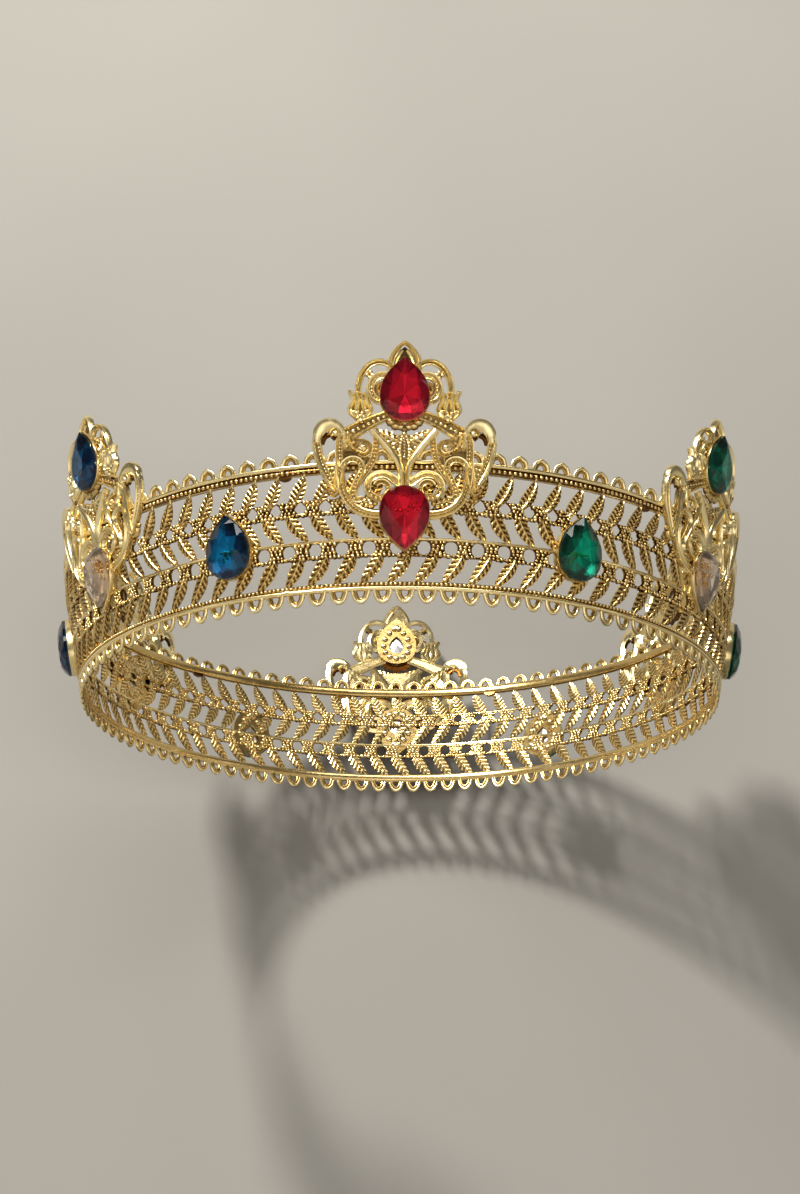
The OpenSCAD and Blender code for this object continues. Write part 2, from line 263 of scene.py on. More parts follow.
def leaf(shape, p, q, width, bow, barbs, out=0.0, lift=0.6, tone=0.52, belly=0.42, vein=0.0):
    """A leaf folded along its vein, with slanted rows of grains on both sides; its back is nearly flat."""
    p, q = np.array(p, float), np.array(q, float)
    d = (q - p) / np.linalg.norm(q - p)
    n = np.array([-d[1], d[0]])
    rows, cols = 7 * barbs + 1, 17
    u = np.linspace(0, 1, rows)[:, None]
    v = np.linspace(-1, 1, cols)[None, :]
    body = np.sin(np.pi * u ** (math.log(0.5) / math.log(belly))) ** 0.62
    from_vein = np.where(v > vein, (v - vein) / (1 - vein), (vein - v) / (1 + vein))
    wave = np.cos(math.tau * (u * barbs - from_vein * 0.8))
    cross = np.cos(math.tau * (from_vein * 2.0 - 0.5))
    half = width / 2 * (0.1 + 0.9 * body) * (1 + 0.06 * wave * (np.abs(v) > 0.8))
    centre = p + u * (q - p) + n * bow * np.sin(np.pi * u)
    flank = np.clip(from_vein * 5 - 0.6, 0, 1) * np.clip((1.05 - from_vein) * 6, 0, 1)
    high = lift * (1 - 0.62 * from_vein) * (0.3 + 0.7 * body)
    high = high + (0.25 * wave * (0.6 + 0.4 * cross)) * flank * body
    high = high + 0.16 * np.exp(-((from_vein / 0.13) ** 2)) + 0.1 * np.exp(-(((from_vein - 0.96) / 0.1) ** 2))
    s = centre[:, :1] + n[0] * half * v
    z = centre[:, 1:] + n[1] * half * v
    top = np.stack([s, z, np.broadcast_to(out + high, s.shape)], -1).reshape(-1, 3)
    low = out - 0.1 + (0.25 * np.abs(v) + 0.13 * wave - 0.3) * body
    back = np.stack([s, z, np.broadcast_to(low, s.shape)], -1).reshape(-1, 3)
    grain = wave * (0.65 + 0.35 * cross)
    # painted shade in the pits between grains, painted highlight on grain tops, along the vein and along the edge; the
    # back is painted lighter or darker with its waves
    pit_shade = tone + flank * (0.85 * np.clip(-grain, 0, 1) - 0.35 * np.clip(grain, 0, 1))
    pit_shade = pit_shade - 0.35 * np.exp(-((from_vein / 0.15) ** 2)) - 0.2 * np.exp(-(((from_vein - 0.96) / 0.1) ** 2))
    shades = [np.clip(np.broadcast_to(t, s.shape), 0, 1).reshape(-1) for t in (pit_shade, 0.3 - 0.35 * wave)]
    tones = np.concatenate(shades)
    closed_sheet(shape, top, back, rows, cols, tones)


def holed_cell(shape, s, z0, z1, hole_z, hole_r, pitch, sharp, rnd):
    """The metal between two holes of a pierced strip, packed with granules; sharp 1 is a round hole, less a lozenge."""
    rows, cols = 15, 9
    z = np.linspace(z0, z1, rows)
    reach = np.clip(1 - (np.abs(z - hole_z) / (hole_r * 1.1)) ** (1 + sharp), 0, 1) ** (1 / (1 + sharp))
    half = pitch / 2 - hole_r * reach
    v = np.linspace(-1, 1, cols)
    ss = s + half[:, None] * v[None, :]
    zz = np.broadcast_to(z[:, None], ss.shape)
    edge = 0.36 - 0.3 * np.abs(v[None, :]) ** 4 * (reach[:, None] > 0)
    top = np.stack([ss, zz, np.broadcast_to(edge, ss.shape)], -1).reshape(-1, 3)
    back = top.copy()
    back[:, 2] = -0.2
    # the ground between the granules is painted as deep shade, its back as lighter shade
    tones = [0.8] * rows * cols + [0.5] * rows * cols
    closed_sheet(shape, top, back, rows, cols, tones)
    line = z0 + 0.25  # height of a row of granules
    while line < z1:
        span = float(np.interp(line, z, half)) - 0.1
        count = max(1, round(span * 2 / 0.92))
        for k in range(count):
            x = s + span * (2 * (k + 0.5) / count - 1) + rnd.uniform(-0.15, 0.15)
            r = rnd.uniform(0.32, 0.6)
            shade = rnd.uniform(0.1, 0.7)
            bead(shape, x, line + rnd.uniform(-0.12, 0.12), 0.28, r, r, r * rnd.uniform(0.8, 1.3), shade, 6)
            bead(shape, x, line, -0.12, r * 1.15, r * 1.15, r * rnd.uniform(0.6, 1.0), shade, 6, -1)
        line += 0.72


def scallop(shape, s, z, height, width, sign, point):
    """An arched loop on the edge of a rail: a thick polished bar with a deeper sloping reveal and a small opening."""
    half = width / 2
    bend = [(-1, 0), (-0.9, 0.36), (-0.66, 0.72), (-0.34, 1 - 0.14 * point), (0, 1)]
    bend += [(-x, y) for x, y in reversed(bend[:-1])]
    outer = smooth_line([(s + x * (half - 0.34), z + sign * y * (height - 0.34)) for x, y in bend], 3)
    inner = smooth_line([(s + x * (half - 0.98), z + sign * y * (height - 0.98)) for x, y in bend], 3)
    sweep(shape, outer, 0.84, 0.42, ROUND, 0.22, 0.0)
    # the inner reveal is painted darker, as shade
    sweep(shape, inner, 0.8, 0.32, ROUND, -0.12, 0.5)


def ring_line(s0, s1, z, n):
    return np.column_stack([np.linspace(s0, s1, n), np.full(n, z)])


# ---------------------------------------------------------------- the cast band
def band_segment():
    """One band segment, with its arc lengths measured from the middle of the front crest's place."""
    rnd = random.Random(5)
    shape = Shape()
    s0 = BASE_R * SEAM
    s1 = s0 + SEGMENT
    strips = [  # height, width, depth, profile, foot and painted shade of each strip that runs the whole segment; the sunken ridged strips carry deep painted shade
        (0.42, 1.1, 0.62, ROUND, 0.12, 0.0),
        (1.35, 1.0, 0.75, ONE_RIDGE, -0.4, 0.75),
        (7.65, 0.5, 0.28, ROUND, 0.0, 0.35),
        (MID_Z, 0.9, 0.62, ROUND, 0.15, 0.05),
        (17.85, 0.55, 0.3, ROUND, 0.0, 0.4),
        (27.4, 1.8, 0.75, ONE_RIDGE, -0.4, 0.8),
        (26.65, 0.35, 0.35, ROUND, 0.1, 0.15),
        (28.72, 1.1, 0.62, ROUND, 0.1, 0.0),
        (27.7, 2.2, 0.3, ROUND, -0.5, 0.3),
        (1.05, 1.9, 0.3, ROUND, -0.5, 0.2),
    ]
    for z, width, depth, profile, foot, tone in strips:
        sweep(shape, ring_line(s0, s1, z, 73), width, depth, profile, foot, tone)
    for z, width, depth, foot in ((28.7, 1.5, 0.8, 0.1), (0.5, 1.45, 0.78, 0.12)):  # sleeves on the rails at the seam
        sweep(shape, ring_line(s0 + 0.05, s0 + 1.1, z, 4), width, depth, ROUND, foot, 0.05)
    for spacing, z, rs, rz, h in ((1.02, 1.38, 0.42, 0.4, 0.5), (1.18, 27.5, 0.45, 0.5, 0.45)):
        beads = int(SEGMENT / spacing)
        for k in range(beads):
            bead(shape, s0 + (k + 0.5) * SEGMENT / beads, z, 0.2, rs, rz, h, 0.3)
    pitch = SEGMENT / LOW_LEAVES
    for k in range(LOW_LEAVES):
        s = s0 + (k + 0.72) * pitch
        if s0 + 1.5 < s < s1 - 1.4:
            holed_cell(shape, s, 7.5, 11.0, 9.45, 1.4, pitch, 1.3, rnd)
        end = max(s - 4.9, s0 + 0.3)
        leaf(shape, (s - 0.3, 8.2), (end, 1.5), 2.9, 0.3, 6, belly=0.36)
    pitch = SEGMENT / TOP_LEAVES
    for k in range(TOP_LEAVES):
        s = s0 + (k + 0.26) * pitch
        if s0 + 1.3 < s < s1 - 1.3:
            holed_cell(shape, s, 17.3, 20.75, 19.2, 1.35, pitch, 0.3, rnd)
        end = min(s + 4.1, s1 - 0.3)
        leaf(shape, (s + 0.7, 19.8), (end - 0.1, 26.5), 2.85, -0.35, 7, 0.1, 0.75, 0.52, 0.42, -0.25)
        sweep(shape, [(end - 0.4, 25.4), (end, 27.0)], 0.6, 0.35, ROUND, 0.15, 0.15)
        leaf(shape, (s + 0.1, 18.1), (end + 0.2, 11.6), 2.95, -0.4, 6, belly=0.36)
    pitch = SEGMENT / LOOPS
    for k in range(LOOPS):
        s = s0 + (k + 0.5) * pitch
        scallop(shape, s, 0.1, 3.05, 4.3, -1, 0.6)
        scallop(shape, s, 28.9, 2.85, 4.3, 1, 0.9)
    return shape


# ---------------------------------------------------------------- the crest
def flat_plate(shape, outline, low, high, tone):
    """A flat plate with straight sides; its outline turns anticlockwise."""
    n = len(outline)
    points = [(s, z, low) for s, z in outline] + [(s, z, high) for s, z in outline]
    faces = [tuple(reversed(range(n))), tuple(range(n, 2 * n))]
    faces += [(i, (i + 1) % n, n + (i + 1) % n, n + i) for i in range(n)]
    # the plate's face is painted with the given shade, its back with a lighter painted shade
    shape.add(points, faces, [tone * 0.3] * n + [tone] * n, smooth=False)


def crest_half():
    """The right half of a crest, by arc length from its axis and height."""
    rnd = random.Random(9)
    shape = Shape()
    # the flat plates behind the bars are painted as shade, deeper in the hollows; bars and granules carry their own
    # painted shade
    base = CREST_OFF

    def bar(points, width, height, profile=TWO_RIDGES, tone=0.0, punch=False):
        line = smooth_line(points)
        t = np.linspace(0, 1, len(line))
        full = np.interp(t, np.linspace(0, 1, np.size(width)), np.atleast_1d(width))
        sweep(shape, line, full, height, profile, base, tone)
        if punch:
            steps = np.linalg.norm(np.diff(line, axis=0), axis=1)
            along = np.concatenate([[0], np.cumsum(steps)])
            d = np.gradient(line, axis=0)
            d /= np.linalg.norm(d, axis=1)[:, None]
            side = np.column_stack([d[:, 1], -d[:, 0]]) * (-0.15 if profile is RIM else 0.0) * full[:, None]
            for step in np.arange(0.7, along[-1] - 0.4, 0.85):
                spot = [np.interp(step, along, line[:, k] + side[:, k]) for k in (0, 1)]
                bead(shape, spot[0], spot[1], base + height * 0.46, 0.24, None, 0.26, 0.15, 6)

    def granules(spots, r, out=0.5, tone=0.45):
        for s, z in spots:
            bead(shape, s, z, base + out, r * rnd.uniform(0.85, 1.1), None, r * rnd.uniform(0.7, 1.0), tone)

    # side arc, its connector and the inner volute
    bar([(9.45, 44.4), (9.35, 46), (8.75, 48.2), (7.4, 50.3), (5.6, 51.3), (4.0, 51.1), (2.6, 50.2)], 1.35, 1.25, RIM)
    granules([(6.9, 48.9), (7.6, 48.3), (7.0, 47.6), (6.5, 48.2)], 0.55, 0.6, 0.3)
    bar([(6.2, 47.4), (7.9, 49.1)], 1.1, 0.8, ONE_RIDGE, 0.35)
    bar(
        [(4.2, 42.7), (5.3, 42.4), (6.4, 43.2), (6.95, 45.0), (6.3, 47.1), (4.9, 48.1), (3.2, 48.0)],
        1.7, 1.35, RIM, punch=True,
    )
    bar([(4.3, 46.6), (5.3, 46.0), (5.6, 44.7), (5.0, 43.7)], 0.9, 1.0, ONE_RIDGE, 0.3)
    # plate painted as deep shade in the eye of the volute
    flat_plate(shape, [(4.9, 43.4), (5.7, 43.9), (5.9, 45.2), (5.2, 46.6), (4.6, 46.6)], base, base + 0.3, 0.85)
    # tulip on its stalk
    flat_plate(
        shape,
        [(9.0, 37.6), (10.6, 39.0), (11.1, 40.6), (10.4, 42.6), (10.9, 44.2), (7.6, 44.1), (8.0, 42.6),
         (7.3, 40.6), (7.8, 39.0)],
        base, base + 0.5, 0.55,
    )
    for k, (top, waist, belly) in enumerate(((7.3, 7.9, 7.0), (8.5, 8.6, 8.3), (9.8, 9.5, 9.8), (11.1, 10.5, 11.2))):
        bar(
            [(top, 44.7 if k in (0, 3) else 44.1), (waist, 42.8), (belly, 40.4), (9.0, 37.8)],
            1.2, 1.25, ONE_RIDGE, 0.0,
        )
    bar([(7.2, 44.6), (8.2, 43.9), (9.2, 44.4), (10.2, 43.9), (11.3, 44.8)], 0.8, 1.4, ONE_RIDGE)
    granules(
        [(7.7, 39.8), (8.6, 39.5), (9.7, 39.5), (10.4, 39.8), (8.3, 38.6), (9.5, 38.5), (8.9, 37.7),
         (8.9, 38.9)],
        0.62, 0.8, 0.6,
    )
    # slanted arms that carry the upper cup
    flat_plate(shape, [(3.0, 38.2), (9.3, 34.6), (12.8, 34.8), (12.8, 36.2), (4.0, 40.0)], base, base + 0.55, 0.5)
    bar([(3.9, 39.9), (8.5, 38.1), (12.6, 36.1), (14.0, 35.6)], 0.85, 1.25, ONE_RIDGE)
    bar([(3.0, 38.3), (6.0, 36.9), (9.4, 34.8), (10.6, 34.0)], 0.85, 1.25, ONE_RIDGE)
    granules([(4.3 + 1.05 * k, 38.7 - 0.5 * k) for k in range(8)], 0.45, 0.5, 0.2)
    # collar, bud and side leaf under the upper cup
    granules([(0, 35.9), (0.8, 36.5)], 0.9, 0.3, 0.4)
    granules([(1.9, 36.7), (2.8, 37.5)], 1.1, 0.3, 0.5)
    for k in range(9):
        w = 1.35 * math.sin(math.pi * (0.2 + 0.75 * (1 - k / 9)))
        granules([(0.0, 35.1 - 0.72 * k), (w * 0.75, 34.8 - 0.72 * k)], 0.5, 0.4, 0.35)
    leaf(shape, (1.0, 32.9), (5.5, 35.5), 2.6, -0.2, 4, base + 0.45, 0.9, 0.25)
    granules([(2.2, 31.6), (1.3, 31.0), (2.9, 32.3)], 0.55, 0.4, 0.45)
    # V bar
    bar(
        [(6.4, 35.7), (4.3, 33.0), (2.3, 30.2), (1.2, 28.2), (0.8, 26.2), (0.7, 22.6)],
        [1.9, 1.9, 1.7, 1.5, 1.4], 1.6, ROOF,
    )
    # ear: outer side, hood with a strip painted dark as shade in its hollow, curl, inner side and the punched wedge at
    # its foot
    bar(
        [(14.5, 22.2), (15.5, 24.1), (16.7, 26.7), (17.6, 29.2), (18.1, 31.8), (18.2, 34.0), (17.7, 35.8)],
        [1.2, 1.9, 2.0, 2.0, 1.8], 1.5, RIM, punch=True,
    )
    bar(
        [(18.1, 33.6), (17.8, 35.7), (16.7, 37.2), (15.1, 37.5), (13.7, 36.7), (12.9, 35.6), (12.8, 34.6)],
        [1.5, 2.6, 3.0, 2.6, 1.9, 1.2], 1.55,
        [(-1, 0), (-1, 0.45), (-0.8, 0.62), (-0.3, 0.86), (0.3, 1), (0.8, 0.92), (1, 0.6), (1, 0), (0, -0.3)],
    )
    bar([(14.3, 34.2), (15.4, 35.2), (16.7, 34.7), (17.4, 33.2)], 1.2, 0.5, ONE_RIDGE, 1.0)
    bar(
        [(14.9, 34.5), (15.4, 35.5), (14.6, 36.4), (13.5, 36.1), (13.1, 35.0), (13.8, 34.1)],
        0.85, 1.5, ONE_RIDGE, 0.05,
    )
    bead(shape, 14.2, 35.2, base + 1.0, 0.75, None, 0.75, 0.1)
    bar(
        [(12.6, 35.2), (13.3, 33.6), (13.5, 31.4), (13.5, 29.0), (13.7, 26.6), (14.1, 24.4), (14.3, 22.4)],
        [1.6, 1.9, 1.9, 1.9, 1.5], 1.45, TWO_RIDGES, punch=True,
    )
    flat_plate(shape, [(14.5, 22.6), (16.6, 27.6), (15.7, 28.2), (14.2, 28.0), (13.9, 25.5)], base, base + 0.6, 0.45)
    granules(
        [(15.1, 27.4), (15.9, 27.3), (14.8, 26.4), (15.5, 26.2), (14.9, 25.3), (14.8, 24.3), (14.6, 23.3)],
        0.36, 0.5, 0.2,
    )
    bar([(13.8, 22.6), (14.8, 21.6), (15.8, 22.0), (16.2, 23.0)], 1.1, 1.1, ONE_RIDGE, 0.25)
    granules([(15.6, 22.8), (16.6, 23.6)], 0.6, 0.3, 0.5)
    # U swag to the lower cup
    bar(
        [(13.1, 29.0), (13.35, 26.6), (13.2, 23.8), (12.5, 21.1), (11.0, 18.8), (8.9, 17.3), (6.6, 16.6),
         (4.8, 16.5)],
        1.95, 1.4, TWO_RIDGES, punch=True,
    )
    # root of the ear, S scroll, its second strand and the middle volute, with plates painted dark as shade in the
    # hollows between
    flat_plate(
        shape,
        [(9.3, 32.2), (10.6, 31.2), (12.4, 31.3), (13.2, 31.6), (13.0, 35.2), (9.6, 35.0)],
        base, base + 0.45, 0.4,
    )
    flat_plate(shape, [(9.2, 29.6), (10.8, 29.6), (12.6, 28.4), (12.8, 31.8), (10.2, 31.5)], base, base + 0.25, 0.7)
    flat_plate(shape, [(7.2, 27.0), (8.3, 27.2), (8.2, 29.8), (6.8, 29.6)], base, base + 0.25, 0.7)
    bar(
        [(13.1, 27.4), (12.4, 28.5), (11.2, 29.2), (9.8, 29.0), (8.9, 27.9), (8.9, 26.4), (9.6, 24.7),
         (10.4, 22.9), (10.7, 21.3), (10.0, 20.1), (8.8, 20.3)],
        [1.2, 1.5, 1.6, 1.7, 1.6, 1.3], 1.5, RIM, punch=True,
    )
    bar(
        [(5.8, 34.6), (5.9, 32.6), (6.1, 30.6), (6.6, 28.7), (7.6, 26.9), (8.7, 25.2), (9.6, 23.6)],
        [1.3, 1.5, 1.6, 1.6, 1.2], 1.4, TWO_RIDGES, punch=True,
    )
    bar([(9.4, 30.6), (8.3, 30.1), (7.2, 31.0), (7.4, 32.5), (8.6, 33.2), (9.9, 33.4), (10.7, 34.8)], 1.2, 1.55, RIM)
    bead(shape, 8.5, 31.7, base + 0.8, 0.85, None, 0.85, 0.1)
    bar([(13.0, 35.2), (12.3, 33.8), (12.6, 32.0)], 1.2, 1.4, ONE_RIDGE)
    bar([(11.6, 35.2), (11.5, 33.6), (11.0, 32.2), (10.0, 31.3)], 1.1, 1.3, ONE_RIDGE)
    granules([(11.0, 34.6), (10.5, 33.0), (12.0, 32.4)], 0.45, 0.6, 0.2)
    # spiral volute at the foot of the V bar
    eye_s, eye_z = 5.1, 22.6
    turns = [math.radians(a) for a in range(-330, 151, 24)]
    reaches = np.linspace(1.1, 3.4, len(turns))
    spiral = [(eye_s + r * math.cos(a), eye_z + r * math.sin(a)) for a, r in zip(turns, reaches)]
    line = smooth_line(spiral[:-1] + [(0.9, 23.4)], 2)
    sweep(shape, line, np.linspace(1.2, 1.9, len(line)), 1.4, RIM, base, 0.0)
    for a, r in list(zip(turns, reaches - 0.15))[6:-1]:
        spot = (eye_s + r * math.cos(a), eye_z + r * math.sin(a))
        bead(shape, *spot, base + 0.62, 0.24, None, 0.26, 0.15, 6)
    granules(
        [(7.4, 19.6), (8.3, 19.7), (8.0, 18.7), (9.0, 18.9), (7.0, 18.8), (6.2, 19.2), (9.4, 19.8)],
        0.72, 0.4, 0.6,
    )
    granules([(6.2, 24.0), (6.9, 23.1), (6.9, 22.1), (4.0, 24.0)], 0.5, 0.3, 0.7)
    return shape


def crest():
    """A whole crest: two mirrored halves, the finial and the plate between the V bars."""
    shape = crest_half()
    shape.join(shape.mirrored())
    flank = [(3.1, 49.4), (3.05, 51.2), (2.5, 53.0), (1.35, 54.8)]
    rim = [(-s, z) for s, z in flank] + [(0, 55.9)] + flank[::-1]
    sweep(shape, smooth_line(rim), 1.1, 1.3, ONE_RIDGE, CREST_OFF, 0.0)
    for side in (-1, 1):
        slope = smooth_line([(side * 2.3, 50.2), (side * 1.85, 52.2), (side * 0.75, 54.2)])
        sweep(shape, slope, 1.25, 0.7, ONE_RIDGE, CREST_OFF, 0.12)
    # the plates in the finial and between the V bars are painted as shade
    flat_plate(
        shape,
        [(-2.6, 50.4), (2.6, 50.4), (1.6, 53.4), (0, 54.9), (-1.6, 53.4)],
        CREST_OFF, CREST_OFF + 0.3, 0.75,
    )
    flat_plate(
        shape,
        [(-0.5, 26.5), (0.5, 26.5), (4.4, 33.4), (2.2, 34.6), (-2.2, 34.6), (-4.4, 33.4)],
        CREST_OFF, CREST_OFF + 0.45, 0.5,
    )
    return shape.bent()


# ---------------------------------------------------------------- cups and stones
def pear(scale_w, scale_l, n=32):
    """Points round a pear with its widest place at the origin and its point up."""
    points = []
    for k in range(n):
        a = math.tau * k / n
        t = 0.5 - 0.5 * math.cos(a)
        if t < WIDEST:
            half = math.sqrt(max(0, 1 - ((WIDEST - t) / WIDEST) ** 2))
        else:
            half = math.cos(math.pi / 2 * ((t - WIDEST) / (1 - WIDEST)) ** 1.32)
        points.append((math.copysign(half, math.sin(a)) * STONE_W / 2 * scale_w, (t - WIDEST) * STONE_L * scale_l))
    return np.array(points)


def cup():
    """A thin bezel round a stone, with a shelf behind it and an open back."""
    shape = Shape()
    wall_w, wall_l = 2 * CUP_WALL / STONE_W, 2 * CUP_WALL / STONE_L
    opening = 0.38  # of the stone's own size
    rings = [  # size of the stone, share of the wall's thickness added, and height
        (opening, 0, CUP_BACK), (1, 0.85, CUP_BACK), (1, 1, CUP_BACK + 0.3), (1, 1, GIRDLE - 0.1),
        (1, 0.6, GIRDLE + 0.12), (1, 0.05, GIRDLE + 0.1), (1, 0, GIRDLE - 0.3), (0.98, 0, CUP_BACK + 0.5),
        (opening, 0, CUP_BACK + 0.5),
    ]
    n, points, faces = 48, [], []
    for size, share, out in rings:
        points += [(x, y, out) for x, y in pear(size + share * wall_w, size + share * wall_l, n)]
    for r in range(len(rings)):
        q = (r + 1) % len(rings)
        for k in range(n):
            faces.append((r * n + k, r * n + (k + 1) % n, q * n + (k + 1) % n, q * n + k))
    # the shelf and open back are painted darker, as shade, than the bright bezel
    tones = [0.32] * 2 * n + [0.1] * 5 * n + [0.32] * 2 * n
    shape.add(points, faces, tones)
    for x, y in pear(0.68, 0.7, 14):
        bead(shape, x, y, CUP_BACK, 0.95, 0.95, 0.5, 0.25, 8, -1)
    return shape


def stone():
    """A pear cut: table, star, kite and girdle facets on an upright side, and a foil-backed pavilion in two tiers."""
    shape = Shape()
    m = 32
    low_out, high_out = GIRDLE - 0.1, GIRDLE + GIRDLE_SIDE
    rings = [
        pear(0.54, 0.54, 16)[0::2], pear(0.8, 0.8, 16)[1::2], pear(1, 1, m), pear(1, 1, m), pear(0.6, 0.6, 16)[1::2],
    ]
    outs = [GIRDLE + CROWN_H, GIRDLE + 0.78 * CROWN_H, high_out, low_out, GIRDLE - 1.0]
    points = [(x, y, out) for ring, out in zip(rings, outs) for x, y in ring] + [(0, 0.9, GIRDLE - 1.45)]
    t, k, g, b, l, culet = 0, 8, 16, 16 + m, 16 + 2 * m, 24 + 2 * m
    # each glass and foil facet gets its own painted light or shade
    glass, glass_tones = [tuple(range(8))], [0.1]
    foil, foil_tones = [], []
    for i in range(8):
        j = (i + 1) % 8
        glass += [(t + i, t + j, k + i), (k + i, g + (4 * j) % m, k + j, t + j)]
        glass_tones += [0.2 + 0.5 * (i % 2), 0.9 - 0.5 * (i % 3 == 0)]
        for q in range(4):
            glass.append((k + i, g + (4 * i + q + 1) % m, g + (4 * i + q) % m)[::-1])
            glass_tones.append(1.0 if q in (0, 3) else 0.6)
            foil.append((l + i, b + (4 * i + q + 1) % m, b + (4 * i + q) % m))
            foil_tones.append(0.9 if (i + q) % 2 else 0.65)
        foil += [(l + i, culet, l + j), (l + i, l + j, b + (4 * j) % m)]
        foil_tones += [0.0 if i % 2 else 0.45, 0.3 + 0.3 * (i % 2)]
    for q in range(m):
        n = (q + 1) % m
        glass.append((g + q, g + n, b + n, b + q)[::-1])
        glass_tones.append(0.8)
    points = np.array(points)
    for faces, tones, mat in ((glass, glass_tones, 0), (foil, foil_tones, 1)):
        for face, tone in zip(faces, tones):
            facet = points[list(face)]
            normal = np.cross(facet[1] - facet[0], facet[2] - facet[0])
            if normal @ (facet.mean(0) - (0, 0.5, GIRDLE)) < 0:
                facet = facet[::-1]
            shape.add(facet, [tuple(range(len(facet)))], tone, mat, False)
    return shape


def joint_tab():
    """A half-round soldered lug."""
    shape = Shape()
    arc = [(1.5 * math.cos(a), 0.05 - 1.05 * math.sin(a)) for a in np.linspace(0, math.pi, 13)]
    n = len(arc)
    rings = [(1.0, -0.6), (1.0, 0.35), (0.8, 0.62), (0.35, 0.72)]
    points = [(x * r, y * r, out) for r, out in rings for x, y in arc]
    faces = [tuple(range(n))]
    for r in range(len(rings) - 1):
        for k in range(n):
            q = (k + 1) % n
            faces.append((r * n + k, (r + 1) * n + k, (r + 1) * n + q, r * n + q))
    faces.append(tuple(3 * n + k for k in reversed(range(n))))
    # the lug is painted dark, as deep shade
    shape.add(points, faces, 0.8)
    return shape


# ---------------------------------------------------------------- materials
def new_material(name):
    material = bpy.data.materials.new(name)
    material.use_nodes = True
    nodes = material.node_tree.nodes
    return material, nodes, material.node_tree.links, nodes["Principled BSDF"]


def gold():
    """Polished yellow gold with painted light and shade: pale where tone is low, as painted highlight, then amber, then
    brown, as painted shade where it rises, with faint random clouds and a fine cast grain.
    """
    material, nodes, links, shader = new_material("plated_gold")
    tone = nodes.new("ShaderNodeAttribute")
    tone.attribute_name = "tone"
    place = nodes.new("ShaderNodeTexCoord")
    grain = nodes.new("ShaderNodeTexNoise")
    grain.inputs["Scale"].default_value = 900
    grain.inputs["Detail"].default_value = 4
    cloud = nodes.new("ShaderNodeTexNoise")
    cloud.inputs["Scale"].default_value = 160
    for noise in (grain, cloud):
        links.new(place.outputs["Object"], noise.inputs["Vector"])
    mix = nodes.new("ShaderNodeMath")
    mix.operation = "MULTIPLY_ADD"
    mix.inputs[1].default_value = 0.3
    links.new(cloud.outputs["Fac"], mix.inputs[0])
    links.new(tone.outputs["Fac"], mix.inputs[2])
    # ramp from painted highlight through amber painted shade to near-black painted shade in the deepest hollows
    ramp = nodes.new("ShaderNodeValToRGB")
    stops = ramp.color_ramp.elements
    stops[0].position, stops[0].color = 0.12, (0.94, 0.79, 0.43, 1)
    stops[1].position, stops[1].color = 1.0, (0.085, 0.03, 0.005, 1)
    middle = stops.new(0.5)
    middle.color = (0.58, 0.395, 0.135, 1)
    links.new(mix.outputs[0], ramp.inputs["Fac"])
    links.new(ramp.outputs["Color"], shader.inputs["Base Color"])
    rough = nodes.new("ShaderNodeMapRange")
    rough.inputs["To Min"].default_value = 0.16
    rough.inputs["To Max"].default_value = 0.32
    links.new(grain.outputs["Fac"], rough.inputs["Value"])
    links.new(rough.outputs["Result"], shader.inputs["Roughness"])
    bump = nodes.new("ShaderNodeBump")
    bump.inputs["Strength"].default_value = 0.3
    bump.inputs["Distance"].default_value = 0.0001
    links.new(grain.outputs["Fac"], bump.inputs["Height"])
    links.new(bump.outputs["Normal"], shader.inputs["Normal"])
    shader.inputs["Metallic"].default_value = 1.0
    return material


def facet_shade(nodes, links, light, dark):
    """A colour from light to dark by the facet's painted shade: painted light and shade per facet, with faint clouds in
    it.
    """
    tone = nodes.new("ShaderNodeAttribute")
    tone.attribute_name = "tone"
    place = nodes.new("ShaderNodeTexCoord")
    cloud = nodes.new("ShaderNodeTexNoise")
    cloud.inputs["Scale"].default_value = 200
    links.new(place.outputs["Object"], cloud.inputs["Vector"])
    mix = nodes.new("ShaderNodeMath")
    mix.operation = "MULTIPLY_ADD"
    mix.inputs[1].default_value = 0.25
    links.new(cloud.outputs["Fac"], mix.inputs[0])
    links.new(tone.outputs["Fac"], mix.inputs[2])
    ramp = nodes.new("ShaderNodeValToRGB")
    stops = ramp.color_ramp.elements
    stops[0].position, stops[0].color = 0.1, (*light, 1)
    stops[1].position, stops[1].color = 1.0, (*dark, 1)
    links.new(mix.outputs[0], ramp.inputs["Fac"])
    return ramp


def gem(name, light, dark):
    """Clear coloured glass, each facet painted lighter or darker as light and shade, deepest on its outer facets."""
    material, nodes, links, shader = new_material(name)
    links.new(facet_shade(nodes, links, light, dark).outputs["Color"], shader.inputs["Base Color"])
    shader.inputs["Roughness"].default_value = 0.02
    shader.inputs["IOR"].default_value = 1.43
    shader.inputs["Transmission Weight"].default_value = 1.0
    return material


def foil():
    """Silver foil on the back of a stone, each facet painted lighter or darker as light and shade, slightly crumpled.
    """
    material, nodes, links, shader = new_material("silver_foil")
    shade = facet_shade(nodes, links, (0.95, 0.95, 0.97), (0.36, 0.36, 0.38))
    links.new(shade.outputs["Color"], shader.inputs["Base Color"])
    place = nodes.new("ShaderNodeTexCoord")
    crease = nodes.new("ShaderNodeTexNoise")
    crease.inputs["Scale"].default_value = 400
    links.new(place.outputs["Object"], crease.inputs["Vector"])
    bump = nodes.new("ShaderNodeBump")
    bump.inputs["Strength"].default_value = 0.15
    bump.inputs["Distance"].default_value = 0.0001
    links.new(crease.outputs["Fac"], bump.inputs["Height"])
    links.new(bump.outputs["Normal"], shader.inputs["Normal"])
    shader.inputs["Metallic"].default_value = 1.0
    shader.inputs["Roughness"].default_value = 0.3
    return material


GOLD = gold()
FOIL = foil()
